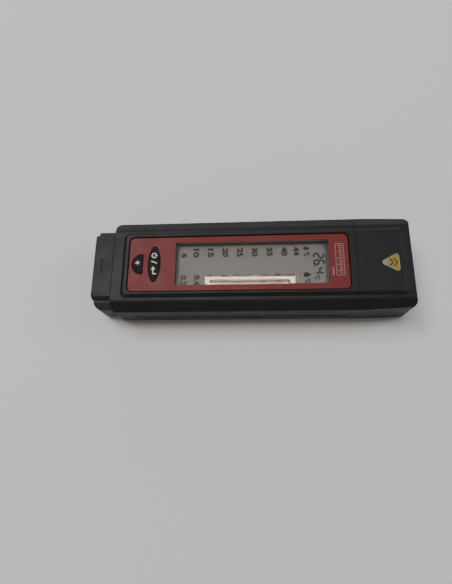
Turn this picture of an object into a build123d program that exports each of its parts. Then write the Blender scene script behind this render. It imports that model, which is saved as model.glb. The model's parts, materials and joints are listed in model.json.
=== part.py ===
from build123d import *
import os
from math import atan2, degrees, radians, tan

# Pin-type moisture meter with a pull-off cap over its two electrode needles.
# Millimetres.  X runs along the meter (+X towards the needles and the cap), Y across it
# and Z up out of the display.  The origin is on the resting face, under the middle of
# the whole object.

# ---------- driving dimensions ----------
LENGTH, WIDTH, HEIGHT = 132.0, 40.0, 20.0
GAP = 0.15                       # running gap between pieces that move apart
WALL = 1.8                       # casing side wall
FLOOR = 1.4                      # casing bottom wall
PARTING_Z = 7.2                  # plane where the two casing shells meet

# casing cross-section: side wall, sloping bevel, flat shoulder, raised plateau
CREASE_Z, CREASE_RADIUS = 16.5, 0.7
SHOULDER_Y, SHOULDER_Z, SHOULDER_RADIUS = 15.7, 18.8, 3.0
BOTTOM_RADIUS, INNER_RADIUS = 3.0, 0.5
PLATEAU_FOOT_Y, PLATEAU_TOP_Y = 14.4, 13.1
PLATEAU_REAR_X, PLATEAU_FRONT_X, PLATEAU_RAMP_X = -53.4, 64.0, 60.8
PLATEAU_CORNER, RIM_EDGE = 2.6, 0.3

# stations along X
REAR_X, TIP_X = -LENGTH / 2, LENGTH / 2
BLOCK_REAR_X = REAR_X + 0.9      # the lid overhangs the block below it
HOUSING_REAR_X = -57.65
DRAWER_FACE_X = HOUSING_REAR_X - GAP
HOUSING_FRONT_X = 43.6
CAP_REAR_X = HOUSING_FRONT_X + GAP
NECK_END_X = 52.5
HOUSING_CORNER = 2.5

# neck that the cap slides over, and the cap itself
CAP_WALL = 1.5
NECK_WALL = 1.4
NECK_INSET = CAP_WALL + GAP
NECK_STEP = 2.0                  # solid ring behind the cap seam that carries the neck
CAP_TIP_HALF_WIDTH, CAP_CORNER, CAP_DRAFT, CAP_EDGE = 19.05, 2.2, 0.4, 0.6
CAP_PARALLEL_X = 54.5            # inside, the cap narrows only past this station

# red panel in the plateau, and its openings
PANEL_REAR_X, PANEL_FRONT_X, PANEL_Y, PANEL_CORNER = -50.4, 40.5, 11.9, 2.0
PANEL_Z = (18.65, 19.65)
PANEL_GAP, PANEL_EDGE, PANEL_FLARE = 0.25, 0.2, 0.2
TOP_WALL_Z = 17.0                # underside of the casing's top wall
WINDOW_X, WINDOW_Y, WINDOW_CORNER = (-30.7, 32.6), 9.4, 0.4
LENS_Z = (18.0, 19.25)
LENS_GAP = 0.08

# buttons
ON_BUTTON_X, ON_BUTTON_HALF, ON_BUTTON_TIP_RADIUS = -39.6, (2.6, 7.75), 1.2
LAMP_BUTTON_FLAT_X, LAMP_BUTTON_RADIUS, LAMP_BUTTON_CORNER = -44.4, 4.45, 0.8
LAMP_BUTTON_DEPTH = 4.7          # from the flat side to the back of the arc
LAMP_SWITCH_X = LAMP_BUTTON_FLAT_X - LAMP_BUTTON_RADIUS / 2
BUTTON_TOP_Z, BUTTON_GAP, BUTTON_EDGE = HEIGHT, 0.14, 0.35
FLANGE_Z, FLANGE_MARGIN = (16.15, 16.85), 0.7
BUTTON_TRAVEL = 0.5
SWITCH_SIZE, SWITCH_HEIGHT, SWITCH_CORNER = 6.0, 1.6, 0.4
PLUNGER_RADIUS, PLUNGER_DEPTH = 1.7, 1.65

# circuit board and display stack
BOARD_X, BOARD_Y, BOARD_Z, BOARD_CORNER = (-52.0, 43.8), 11.6, (12.8, 13.8), 1.0
HOLDER_X, HOLDER_Y, HOLDER_RAIL, HOLDER_CORNERS = (-34.0, 36.2), 11.9, 0.5, (0.8, 0.5)
DISPLAY_TOP_Z = 16.0
POLARIZER_T, GLASS_T, REFLECTOR_T, GLASS_CORNER = 0.15, 0.55, 0.1, 0.3
POLARIZER_INSET, GLASS_GAP, LED_SIZE, LED_Y = 1.0, 0.1, (1.6, 0.6), 4.5
GUIDE_END_GAPS, GUIDE_Y, ZEBRA_GAPS = (1.3, 1.0), 10.0, (0.2, 0.1)
BOARD_SCREW_POINTS = [(-36.4, 10.2), (-36.4, -10.2), (39.4, 8.5), (39.4, -8.5)]
BOARD_SCREW_RADIUS, BOARD_SCREW_HEAD = 0.8, (1.5, 0.7)
BOARD_SCREW_SLOT, BOARD_SCREW_END_Z = (1.6, 0.35, 0.6), 15.8

# parts under and beside the board
CHIP_X, CHIP_RADIUS, CHIP_T, CHIP_EDGE = 6.0, 6.0, 1.3, 1.1
RESISTOR_SIZE, RESISTOR_X, RESISTOR_Y = (2.0, 1.2, 0.5), (-24, -18, 18, 24), (-8, -4.5, 3.3, 6.8)
CAPACITOR_X, CAPACITOR_Y, CAPACITOR_RADIUS = (30.0, 36.0), 5.0, 2.0
CRYSTAL_X, CRYSTAL_Y, CRYSTAL_RADIUS, CRYSTAL_EDGE = (-12.0, -6.0), -7.5, 1.0, 0.3
THERMISTOR_X, THERMISTOR_RADIUS, THERMISTOR_HEIGHT = 42.0, 0.8, 1.0
THERMISTOR_LEG_Y, THERMISTOR_LEG_RADIUS = 0.4, 0.2

# casing screws
SCREW_POINTS = [(-50.6, 14.3), (-50.6, -14.3), (38.6, 14.3), (38.6, -14.3)]
SCREW_RADIUS, SCREW_HEAD_RADIUS, SCREW_HEAD_T = 1.1, 2.0, 1.3
SCREW_HEAD_Z, SCREW_TOP_Z, BOSS_RADIUS = 2.4, 13.0, 2.4
SCREW_SLOT, SCREW_FIT = (2.2, 0.5, 1.2), 0.02

# side grips
GRIP_Z, GRIP_X = (7.6, 13.8), (-48.0, 41.5)
GRIP_SLOPE_X, GRIP_DEPTH, GRIP_SKIN, GRIP_CORNER = 31.0, 0.8, 0.62, 1.0
GRIP_FIT, GRIP_RECESS = 0.1, 0.05
GRIP_RIB_FIRST_X, GRIP_RIB_PITCH, GRIP_RIB_COUNT, GRIP_RIB_WIDTH = -43.4, 8.12, 10, 1.1

# battery drawer: front block, tray and three stacked coin cells
BLOCK_Y, BLOCK_CREASE_Z, BLOCK_LEDGE = 17.9, 12.8, (16.0, 16.9)
BLOCK_FOOT_RADIUS, BLOCK_CREASE_RADIUS = 2.0, 1.0
LID_FOOT_Y, LID_TOP_Y, BLOCK_CORNER, LID_CORNER, LID_EDGE = 14.8, 13.6, 1.7, 0.8, 0.4
NAIL_SLOT_X, NAIL_SLOT_SIZE = -62.2, (0.8, 5.8, 0.35)
CELL_RADIUS, CELL_T, CELL_X, CELL_RIM, CELL_EDGE = 10.0, 3.2, -46.8, 0.3, 0.4
CELL_CAP_INSET, CELLS = 1.2, 3
TRAY_Z, TRAY_Y, TRAY_FRONT_X, TRAY_CORNER, TRAY_LIP = (1.6, 10.5), 11.4, -35.5, 1.5, 3.0
CELL_FLOOR_Z, CONTACT_SLOT_Y = 2.3, 3.0
CELL_CLEARANCE = 0.15
BAY_Y, BAY_TOP_Z = TRAY_Y + GAP, 12.1
CORING_POCKETS, CORING_WIDTH, CORING_WALL = 3, 6.4, 2.0

# electrodes
NEEDLE_Y, NEEDLE_Z, NEEDLE_RADIUS = 12.5, 9.6, 0.75
NEEDLE_X, NEEDLE_POINT = (48.0, 62.2), 3.2
HOLDER_FLANGE_X = (NECK_END_X, 53.9)
PLUG_REAR_X, PLUG_GAP, PLUG_FACE_T, PLUG_ROOM = 46.0, 0.05, 1.5, (7.5, 5.0)
SOCKET_X, SOCKET_RADIUS, SOCKET_NUT_T, SOCKET_NUT_FLATS = (44.8, 53.9), 1.95, 2.0, 4.6
NEEDLE_TIP_RADIUS = 0.06

# sheet-metal contacts
SHEET_T, CONTACT_HALF_WIDTH, CONTACT_CLEARANCE = 0.3, 2.0, 0.1
TAB_Y, TAB_REACH, TAB_FOOT = 8.4, 1.4, 2.6
POSITIVE_LEAF_X = (-51.5, -49.0, -46.0, -43.5)
NEGATIVE_LEAF_X = (-43.5, -41.0, -38.0, -33.4)

# labels
LABEL_T, LABEL_CORNER = 0.1, 1.2
REAR_LABEL_X, REAR_LABEL_Y, REAR_LABEL_RECESS = (-28.0, 22.0), 12.5, 0.25
CAP_LABEL_X, CAP_LABEL_Y, CAP_LABEL_CORNER = (52.2, 60.2), (-1.2, 4.4), 1.1

# values that follow from the ones above
GLASS_X = (HOLDER_X[0] + HOLDER_RAIL + GLASS_GAP, HOLDER_X[1] - HOLDER_RAIL - GLASS_GAP)
GLASS_Y = HOLDER_Y - HOLDER_RAIL - GLASS_GAP
FRONT_GLASS_Z = (DISPLAY_TOP_Z - POLARIZER_T - GLASS_T, DISPLAY_TOP_Z - POLARIZER_T)
REAR_GLASS_Z = (FRONT_GLASS_Z[0] - GLASS_T, FRONT_GLASS_Z[0])
GUIDE_TOP_Z = REAR_GLASS_Z[0] - REFLECTOR_T
GUIDE_X = (GLASS_X[0] + GUIDE_END_GAPS[0], GLASS_X[1] - GUIDE_END_GAPS[1])
BEVEL_ANGLE = degrees(atan2(SHOULDER_Z - CREASE_Z, WIDTH / 2 - SHOULDER_Y))
TOLERANCE = 1e-4


# ---------- helpers ----------
def block(x, y, z):
    """Box between (low, high) pairs along each axis."""
    spans = (x, y, z)
    centre = [(low + high) / 2 for low, high in spans]
    return Pos(*centre) * Box(*[high - low for low, high in spans])


def plate(x, half_y, z, radius, taper=0.0):
    """Rounded rectangle, centred on Y, standing from z[0] to z[1]."""
    outline = Pos((x[0] + x[1]) / 2, 0) * RectangleRounded(x[1] - x[0], 2 * half_y, radius)
    return extrude(Plane.XY.offset(z[0]) * outline, amount=z[1] - z[0], taper=taper)


def upright(x, y, z, radius):
    """Vertical cylinder from z[0] to z[1]."""
    return Pos(x, y, (z[0] + z[1]) / 2) * Cylinder(radius, z[1] - z[0])


def rod(x, y, z, radius):
    """Cylinder along X from x[0] to x[1]."""
    return Pos((x[0] + x[1]) / 2, y, z) * Rot(0, 90, 0) * Cylinder(radius, x[1] - x[0])


def along_x(section, x):
    """Section drawn in (Y, Z), extruded from x[0] to x[1]."""
    return extrude(Plane.YZ.offset(x[0]) * section, amount=x[1] - x[0])


def across_y(profile, y):
    """Profile drawn in (X, Z), extruded from y[0] to y[1]."""
    return extrude(Plane.XZ.offset(-y[0]) * profile, amount=y[0] - y[1])


def outline(points):
    return make_face(Polyline(*points, close=True))


def rounded(sketch, height, radius):
    """Round the corners of a sketch that lie at one height."""
    return fillet([v for v in sketch.vertices() if abs(v.Y - height) < TOLERANCE], radius)


def group(pieces):
    """Several separate solids in one node."""
    return Part() + list(pieces)


def mirrored_y(piece):
    return mirror(piece, Plane.XZ)


# ---------- casing ----------
def casing_section(inset=0.0, floor=None):
    """Casing cross-section in (Y, Z), shrunk evenly by inset."""
    floor = inset if floor is None else floor
    half = WIDTH / 2 - inset
    crease_z = CREASE_Z - inset * tan(radians(90 - BEVEL_ANGLE) / 2)
    shoulder = (SHOULDER_Y - inset * tan(radians(BEVEL_ANGLE) / 2), SHOULDER_Z - inset)
    side = [(half, floor), (half, crease_z), shoulder]
    sketch = outline(side + [(-y, z) for y, z in reversed(side)])
    sketch = rounded(sketch, floor, max(BOTTOM_RADIUS - inset, INNER_RADIUS))
    if inset == 0:
        sketch = rounded(sketch, crease_z, CREASE_RADIUS)
        sketch = rounded(sketch, shoulder[1], SHOULDER_RADIUS)
    return sketch


def plateau():
    """Raised island from the casing on to the cap: steep sides and rear, long front ramp."""
    slope = degrees(atan2(PLATEAU_FOOT_Y - PLATEAU_TOP_Y, HEIGHT - SHOULDER_Z))
    island = plate((PLATEAU_REAR_X, PLATEAU_FRONT_X), PLATEAU_FOOT_Y, (SHOULDER_Z, HEIGHT),
                   PLATEAU_CORNER, taper=slope)
    ramp = outline([(-LENGTH, SHOULDER_Z), (PLATEAU_FRONT_X, SHOULDER_Z),
                    (PLATEAU_RAMP_X, HEIGHT), (-LENGTH, HEIGHT)])
    island &= across_y(ramp, (-WIDTH, WIDTH))
    return fillet(island.edges().group_by(Axis.Z)[-1], RIM_EDGE)


def panel_pocket():
    """Recess for the red panel, with a small flare at its mouth."""
    x = (PANEL_REAR_X - PANEL_GAP, PANEL_FRONT_X + PANEL_GAP)
    radius = PANEL_CORNER + PANEL_GAP
    pocket = plate(x, PANEL_Y + PANEL_GAP, (PANEL_Z[0], HEIGHT), radius)
    flare_z = (HEIGHT - PANEL_FLARE, HEIGHT + PANEL_FLARE)
    return pocket + plate(x, PANEL_Y + PANEL_GAP, flare_z, radius, taper=-45)


def on_button_outline(margin=0.0):
    """Lens shape with blunt tips, long across the meter: two arcs and two tip fillets."""
    half_x, half_y = (value + margin for value in ON_BUTTON_HALF)
    tip_radius = ON_BUTTON_TIP_RADIUS + margin
    tip_centre = half_y - tip_radius
    side_radius = (tip_centre**2 + half_x**2 - tip_radius**2) / (2 * (half_x - tip_radius))
    lens = (Pos(half_x - side_radius, 0) * Circle(side_radius)
            & Pos(side_radius - half_x, 0) * Circle(side_radius))
    return Pos(ON_BUTTON_X, 0) * fillet(lens.vertices(), tip_radius)


def lamp_button_outline(margin=0.0):
    """Half moon whose flat side faces the oval button."""
    centre_x = LAMP_BUTTON_FLAT_X - LAMP_BUTTON_DEPTH + LAMP_BUTTON_RADIUS
    disc = Pos(centre_x, 0) * Circle(LAMP_BUTTON_RADIUS + margin)
    far = 3 * LAMP_BUTTON_RADIUS
    cut = Pos(LAMP_BUTTON_FLAT_X + margin + far / 2, 0) * Rectangle(far, far)
    moon = disc - cut
    return fillet(moon.vertices().group_by(Axis.X)[-1], LAMP_BUTTON_CORNER)


def raised(sketch, z):
    return extrude(Plane.XY.offset(z[0]) * sketch, amount=z[1] - z[0])


def grip_outline(gap=0.0):
    """Grip recess in (X, Z): square at the rear, running out to a point at the front."""
    (low, high), (rear, front) = GRIP_Z, GRIP_X
    low, high, rear = low + gap, high - gap, rear + gap
    slope_x, front = GRIP_SLOPE_X - gap, front - 3 * gap
    shape = outline([(rear, low), (front, low), (slope_x, high), (rear, high)])
    return fillet(shape.vertices().group_by(Axis.X)[0], GRIP_CORNER)


def grip_recesses():
    shape = grip_outline()
    left = across_y(shape, (WIDTH / 2 - GRIP_DEPTH, WIDTH / 2 + 1))
    return left + mirrored_y(left)


def casing_outside():
    """Both shells together, before they are hollowed and parted."""
    trunk = along_x(casing_section(), (HOUSING_REAR_X, HOUSING_FRONT_X))
    corners = plate((HOUSING_REAR_X, HOUSING_FRONT_X + WIDTH), WIDTH / 2, (0, HEIGHT), HOUSING_CORNER)
    neck = along_x(casing_section(NECK_INSET), (HOUSING_FRONT_X, NECK_END_X))
    island = plateau() & block((-LENGTH, HOUSING_FRONT_X), (-WIDTH, WIDTH), (0, 2 * HEIGHT))
    return (trunk & corners) + island + neck - grip_recesses()


def casing_cavity():
    """Space inside the shells: main room, neck bore and the drawer's way in."""
    room_x = (HOUSING_REAR_X + WALL, HOUSING_FRONT_X - NECK_STEP)
    room = along_x(casing_section(WALL, FLOOR), room_x)
    room &= block((-LENGTH, LENGTH), (-WIDTH, WIDTH), (0, TOP_WALL_Z))
    bore = along_x(casing_section(NECK_INSET + NECK_WALL), (room_x[1] - 1, NECK_END_X + 1))
    bay = block((HOUSING_REAR_X - 1, room_x[0] + 1), (-BAY_Y, BAY_Y), (TRAY_Z[0] - GAP, BAY_TOP_Z))
    return room + bore + bay


def upper_housing():
    shell = casing_outside() - casing_cavity() - panel_pocket()
    bosses = [upright(x, y, (PARTING_Z, TOP_WALL_Z), BOSS_RADIUS) for x, y in SCREW_POINTS]
    bosses += [upright(x, y, (BOARD_Z[1], TOP_WALL_Z), BOARD_SCREW_HEAD[0])
               for x, y in BOARD_SCREW_POINTS]
    shell += bosses
    shell &= block((-LENGTH, LENGTH), (-WIDTH, WIDTH), (PARTING_Z, 2 * HEIGHT))
    shell -= plate(WINDOW_X, WINDOW_Y, (TOP_WALL_Z - 1, HEIGHT), WINDOW_CORNER)
    for shape in (on_button_outline(BUTTON_GAP), lamp_button_outline(BUTTON_GAP)):
        shell -= raised(shape, (TOP_WALL_Z - 1, HEIGHT))
    shell -= [upright(x, y, (0, SCREW_TOP_Z), SCREW_RADIUS) for x, y in SCREW_POINTS]
    shell -= [upright(x, y, (0, TOP_WALL_Z - 1), BOARD_SCREW_RADIUS) for x, y in BOARD_SCREW_POINTS]
    return shell


def lower_housing():
    shell = casing_outside() - casing_cavity()
    shell &= block((-LENGTH, LENGTH), (-WIDTH, WIDTH), (0, PARTING_Z))
    shell += [upright(x, y, (FLOOR, PARTING_Z), BOSS_RADIUS) for x, y in SCREW_POINTS]
    for x, y in SCREW_POINTS:
        shell -= upright(x, y, (0, HEIGHT), SCREW_RADIUS + GAP)
        shell -= upright(x, y, (-1, SCREW_HEAD_Z), SCREW_HEAD_RADIUS + GAP)
    return shell - plate(REAR_LABEL_X, REAR_LABEL_Y + GAP, (-1, REAR_LABEL_RECESS), LABEL_CORNER)


def cross_head_screw(point, head_z, end_z, head_radius, radius, slot):
    """Screw driven upwards: head from head_z[0] to head_z[1], shaft on to end_z."""
    length, width, depth = slot
    head = upright(*point, head_z, head_radius)
    shaft = upright(*point, (head_z[1], end_z), radius - SCREW_FIT)
    cross = Box(length, width, depth) + Box(width, length, depth)
    return head + shaft - Pos(*point, head_z[0]) * cross


def housing_screws():
    head_z = (SCREW_HEAD_Z - SCREW_HEAD_T, SCREW_HEAD_Z)
    return group(cross_head_screw(point, head_z, SCREW_TOP_Z - 1, SCREW_HEAD_RADIUS,
                                  SCREW_RADIUS, SCREW_SLOT) for point in SCREW_POINTS)


def grip_insert():
    """Ribbed soft strip that fills the left recess; its ribs stand flush with the wall."""
    base_y = WIDTH / 2 - GRIP_DEPTH
    shape = grip_outline(GRIP_FIT)
    strip = across_y(shape, (base_y, base_y + GRIP_SKIN))
    envelope = across_y(shape, (base_y, WIDTH / 2 - GRIP_RECESS))
    ribs = []
    for index in range(GRIP_RIB_COUNT):
        x = GRIP_RIB_FIRST_X + index * GRIP_RIB_PITCH
        rib = Pos(x, base_y + GRIP_SKIN, sum(GRIP_Z) / 2) * Cylinder(GRIP_RIB_WIDTH / 2, HEIGHT)
        ribs.append(rib & envelope)
    return strip + ribs


# ---------- panel, window and buttons ----------
def front_panel():
    panel = plate((PANEL_REAR_X, PANEL_FRONT_X), PANEL_Y, PANEL_Z, PANEL_CORNER)
    panel = fillet(panel.edges().group_by(Axis.Z)[-1], PANEL_EDGE)
    panel -= plate(WINDOW_X, WINDOW_Y, PANEL_Z, WINDOW_CORNER)
    for shape in (on_button_outline(BUTTON_GAP), lamp_button_outline(BUTTON_GAP)):
        panel -= raised(shape, PANEL_Z)
    return panel


def display_window():
    x = (WINDOW_X[0] + LENS_GAP, WINDOW_X[1] - LENS_GAP)
    return plate(x, WINDOW_Y - LENS_GAP, LENS_Z, WINDOW_CORNER - LENS_GAP)


def button(shape, wide_shape):
    """Button cap with rounded top edge and a flange that stops it under the top wall."""
    cap = raised(shape, (FLANGE_Z[0], BUTTON_TOP_Z))
    cap = fillet(cap.edges().group_by(Axis.Z)[-1], BUTTON_EDGE)
    return cap + raised(wide_shape, FLANGE_Z)


def on_set_button():
    return button(on_button_outline(), on_button_outline(FLANGE_MARGIN))


def lamp_button():
    return button(lamp_button_outline(), lamp_button_outline(FLANGE_MARGIN))


def switch_base(x):
    half = SWITCH_SIZE / 2
    body = block((x - half, x + half), (-half, half), (BOARD_Z[1], BOARD_Z[1] + SWITCH_HEIGHT))
    body = fillet(body.edges().filter_by(Axis.Z), SWITCH_CORNER)
    return body - upright(x, 0, (BOARD_Z[1] + GAP, HEIGHT), PLUNGER_RADIUS + GAP)


def switch_plunger(x):
    return upright(x, 0, (FLANGE_Z[0] - PLUNGER_DEPTH, FLANGE_Z[0]), PLUNGER_RADIUS)


# ---------- display stack ----------
def lcd_holder():
    """Black frame between the casing's top wall and the board; its lip masks the glass."""
    corner, inner_corner = HOLDER_CORNERS
    frame = plate(HOLDER_X, HOLDER_Y, (BOARD_Z[1], TOP_WALL_Z), corner)
    frame -= plate(WINDOW_X, WINDOW_Y, (BOARD_Z[1], TOP_WALL_Z), WINDOW_CORNER)
    room_x = (HOLDER_X[0] + HOLDER_RAIL, HOLDER_X[1] - HOLDER_RAIL)
    return frame - plate(room_x, HOLDER_Y - HOLDER_RAIL, (BOARD_Z[1], DISPLAY_TOP_Z), inner_corner)


def display_layer(z, x=GLASS_X, half_y=GLASS_Y):
    return plate(x, half_y, z, GLASS_CORNER)


def lcd_polarizer():
    x = (GLASS_X[0] + POLARIZER_INSET, GLASS_X[1] - POLARIZER_INSET)
    return display_layer((FRONT_GLASS_Z[1], DISPLAY_TOP_Z), x, GLASS_Y - POLARIZER_INSET)


def zebra_connectors():
    y = (GUIDE_Y + ZEBRA_GAPS[0], GLASS_Y - ZEBRA_GAPS[1])
    strip = block(GLASS_X, y, (BOARD_Z[1], REAR_GLASS_Z[0]))
    return group([strip, mirrored_y(strip)])


def backlight_leds():
    width, height = LED_SIZE
    x, z = (GLASS_X[0] + GLASS_GAP, GUIDE_X[0] - GLASS_GAP), (BOARD_Z[1], BOARD_Z[1] + height)
    return group(block(x, (y - width / 2, y + width / 2), z) for y in (-LED_Y, LED_Y))


# ---------- circuit board ----------
def main_board():
    board = plate(BOARD_X, BOARD_Y, BOARD_Z, BOARD_CORNER)
    board -= [upright(x, y, BOARD_Z, BOARD_SCREW_RADIUS + GAP) for x, y in BOARD_SCREW_POINTS]
    return board


def board_screws():
    head_radius, head_t = BOARD_SCREW_HEAD
    head_z = (BOARD_Z[0] - head_t, BOARD_Z[0])
    return group(cross_head_screw(point, head_z, BOARD_SCREW_END_Z, head_radius, BOARD_SCREW_RADIUS,
                                  BOARD_SCREW_SLOT) for point in BOARD_SCREW_POINTS)


def controller_chip():
    """Epoxy blob over the bonded die."""
    blob = upright(CHIP_X, 0, (BOARD_Z[0] - CHIP_T, BOARD_Z[0]), CHIP_RADIUS)
    return fillet(blob.edges().group_by(Axis.Z)[0], CHIP_EDGE)


def board_resistors():
    length, width, height = RESISTOR_SIZE
    return group(block((x, x + length), (y, y + width), (BOARD_Z[0] - height, BOARD_Z[0]))
                 for x in RESISTOR_X for y in RESISTOR_Y)


def board_capacitors():
    return group(rod(CAPACITOR_X, y, BOARD_Z[0] - CAPACITOR_RADIUS, CAPACITOR_RADIUS)
                 for y in (-CAPACITOR_Y, CAPACITOR_Y))


def crystal():
    can = rod(CRYSTAL_X, CRYSTAL_Y, BOARD_Z[0] - CRYSTAL_RADIUS, CRYSTAL_RADIUS)
    return fillet(can.edges().filter_by(GeomType.CIRCLE), CRYSTAL_EDGE)


def thermistor():
    """Air temperature bead on two leads beside the electrode plug."""
    centre_z = BOARD_Z[1] + THERMISTOR_HEIGHT
    bead = Pos(THERMISTOR_X, 0, centre_z) * Sphere(THERMISTOR_RADIUS)
    legs = [upright(THERMISTOR_X, y, (BOARD_Z[1], centre_z), THERMISTOR_LEG_RADIUS)
            for y in (-THERMISTOR_LEG_Y, THERMISTOR_LEG_Y)]
    return bead + legs


# ---------- electrodes ----------
def electrode_holder():
    """Insulating nose: a plug in the neck and a flange over its rim."""
    flange = along_x(casing_section(NECK_INSET), HOLDER_FLANGE_X)
    plug_inset = NECK_INSET + NECK_WALL + PLUG_GAP
    nose = flange + along_x(casing_section(plug_inset), (PLUG_REAR_X, NECK_END_X))
    half_y, floor_z = PLUG_ROOM
    room = block((PLUG_REAR_X - 1, NECK_END_X - PLUG_FACE_T), (-half_y, half_y), (floor_z, HEIGHT))
    for side in (-1, 1):
        nose -= rod((PLUG_REAR_X - 1, HOLDER_FLANGE_X[1] + 1), side * NEEDLE_Y, NEEDLE_Z, SOCKET_RADIUS)
    return nose - room


def needle_socket():
    """Left brass ferrule with a hexagonal nose that clamps the needle."""
    barrel = rod(SOCKET_X, NEEDLE_Y, NEEDLE_Z, SOCKET_RADIUS)
    hexagon = Pos(NEEDLE_Y, NEEDLE_Z) * RegularPolygon(SOCKET_NUT_FLATS / 2, 6, major_radius=False)
    nut = along_x(hexagon, (SOCKET_X[1], SOCKET_X[1] + SOCKET_NUT_T))
    bore = rod((NEEDLE_X[0], HEIGHT + NEEDLE_X[1]), NEEDLE_Y, NEEDLE_Z, NEEDLE_RADIUS)
    return barrel + nut - bore


def electrode_needle():
    """Left steel needle with a ground point."""
    shank = rod((NEEDLE_X[0], NEEDLE_X[1] - NEEDLE_POINT), NEEDLE_Y, NEEDLE_Z, NEEDLE_RADIUS)
    point = Pos(NEEDLE_X[1] - NEEDLE_POINT / 2, NEEDLE_Y, NEEDLE_Z) * Rot(0, 90, 0) * Cone(
        NEEDLE_RADIUS, NEEDLE_TIP_RADIUS, NEEDLE_POINT)
    return shank + point


def electrode_tab():
    """Left sheet-metal strip from the board to the back of the socket."""
    rear = SOCKET_X[0] - SHEET_T
    top = BOARD_Z[1] + SHEET_T
    wall = block((rear, SOCKET_X[0]), (TAB_Y, NEEDLE_Y + TAB_REACH), (NEEDLE_Z - TAB_REACH, top))
    foot = block((rear - TAB_FOOT, rear), (TAB_Y, BOARD_Y - SHEET_T), (BOARD_Z[1], top))
    return wall + foot


# ---------- battery drawer ----------
def drawer_section():
    """Front block in (Y, Z): wall, steep bevel, ledge and the raised lid above it."""
    side = [(BLOCK_Y, 0), (BLOCK_Y, BLOCK_CREASE_Z), BLOCK_LEDGE, (LID_FOOT_Y, BLOCK_LEDGE[1])]
    sketch = outline(side + [(-y, z) for y, z in reversed(side)])
    sketch = rounded(sketch, 0, BOTTOM_RADIUS)
    return rounded(sketch, BLOCK_CREASE_Z, BLOCK_CREASE_RADIUS)


def drawer_lid():
    """Raised top of the front block: sloping sides and an upright, softened end."""
    foot_z = BLOCK_LEDGE[1]
    side = [(LID_FOOT_Y, foot_z), (LID_TOP_Y, SHOULDER_Z)]
    lid = along_x(outline(side + [(-y, z) for y, z in reversed(side)]), (REAR_X, DRAWER_FACE_X))
    lid = fillet(lid.faces().sort_by(Axis.X)[0].edges().sort_by(Axis.Z)[1:3], LID_CORNER)
    return fillet(lid.edges().group_by(Axis.Z)[-1].sort_by(Axis.X)[:-1], LID_EDGE)


def drawer_front():
    """Block that closes the end of the casing, cored out between the cells and the lid."""
    body = along_x(drawer_section(), (BLOCK_REAR_X, DRAWER_FACE_X))
    body &= plate((BLOCK_REAR_X, 0), BLOCK_Y, (0, HEIGHT), BLOCK_CORNER)
    side_view = outline([(BLOCK_REAR_X, 0), (0, 0), (0, HEIGHT), (BLOCK_REAR_X, HEIGHT)])
    foot = side_view.vertices().group_by(Axis.X)[0].group_by(Axis.Y)[0]
    body &= across_y(fillet(foot, BLOCK_FOOT_RADIUS), (-WIDTH, WIDTH))
    width, length, depth = NAIL_SLOT_SIZE
    slot = Pos(NAIL_SLOT_X, 0, SHOULDER_Z) * Box(width, length, 2 * depth)
    x, z = (BLOCK_REAR_X + CORING_WALL, DRAWER_FACE_X), (CELL_FLOOR_Z + CELL_T, SHOULDER_Z - CORING_WALL)
    pitch, half = 2 * LID_TOP_Y / CORING_POCKETS, CORING_WIDTH / 2
    pockets = [block(x, (y - half, y + half), z) for y in (-pitch, 0, pitch)]
    return body + drawer_lid() - slot - pockets


def battery_drawer():
    tray = block((DRAWER_FACE_X - 1, TRAY_FRONT_X), (-TRAY_Y, TRAY_Y), TRAY_Z)
    tray = fillet(tray.edges().filter_by(Axis.Z).group_by(Axis.X)[-1], TRAY_CORNER)
    drawer = drawer_front() + tray
    drawer -= upright(CELL_X, 0, (CELL_FLOOR_Z, HEIGHT), CELL_RADIUS + CELL_CLEARANCE)
    contact_y = (-CONTACT_SLOT_Y, CONTACT_SLOT_Y)
    drawer -= block((CELL_X, 0), contact_y, (0, CELL_FLOOR_Z))
    return drawer - block((TRAY_FRONT_X - TRAY_LIP, 0), contact_y, (0, CELL_FLOOR_Z + CELL_T))


def coin_cell(level):
    """Lithium coin cell: positive can, and the smaller negative cap facing down."""
    low = CELL_FLOOR_Z + level * CELL_T
    can = upright(CELL_X, 0, (low + CELL_RIM, low + CELL_T), CELL_RADIUS)
    can = fillet(can.edges().group_by(Axis.Z)[-1], CELL_EDGE)
    return can + upright(CELL_X, 0, (low, low + CELL_RIM), CELL_RADIUS - CELL_CAP_INSET)


def leaf(points):
    """Bent strip of sheet metal, drawn as its centre line in (X, Z)."""
    strip = offset(Polyline(*points), SHEET_T / 2, side=Side.BOTH)
    return across_y(make_face(strip), (-CONTACT_HALF_WIDTH, CONTACT_HALF_WIDTH))


def positive_battery_contact():
    """Leaf from the board down to just above the top cell."""
    root, bend, elbow, end = POSITIVE_LEAF_X
    board = BOARD_Z[0] - SHEET_T / 2
    touch = CELL_FLOOR_Z + CELLS * CELL_T + CONTACT_CLEARANCE + SHEET_T / 2
    return leaf([(root, board), (bend, board), (elbow, touch), (end, touch)])


def negative_battery_contact():
    """Leaf under the bottom cell, along the casing floor and up to the board."""
    end, elbow, bend, root = NEGATIVE_LEAF_X
    touch = CELL_FLOOR_Z - CONTACT_CLEARANCE - SHEET_T / 2
    base, board = FLOOR + SHEET_T / 2, BOARD_Z[0] - SHEET_T / 2
    return leaf([(end, touch), (elbow, touch), (bend, base), (root, base), (root, board)])


# ---------- protective cap ----------
def cap_plan(inset):
    """Cap outline in (X, Y), narrowing towards a round-cornered tip."""
    half, tip_half = WIDTH / 2 - inset, CAP_TIP_HALF_WIDTH - inset
    start = CAP_REAR_X if inset == 0 else CAP_PARALLEL_X
    side = [(0, half), (start, half), (TIP_X - inset, tip_half)]
    sketch = outline(side + [(x, -y) for x, y in reversed(side)])
    return fillet(sketch.vertices().group_by(Axis.X)[-1], CAP_CORNER - inset)


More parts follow.
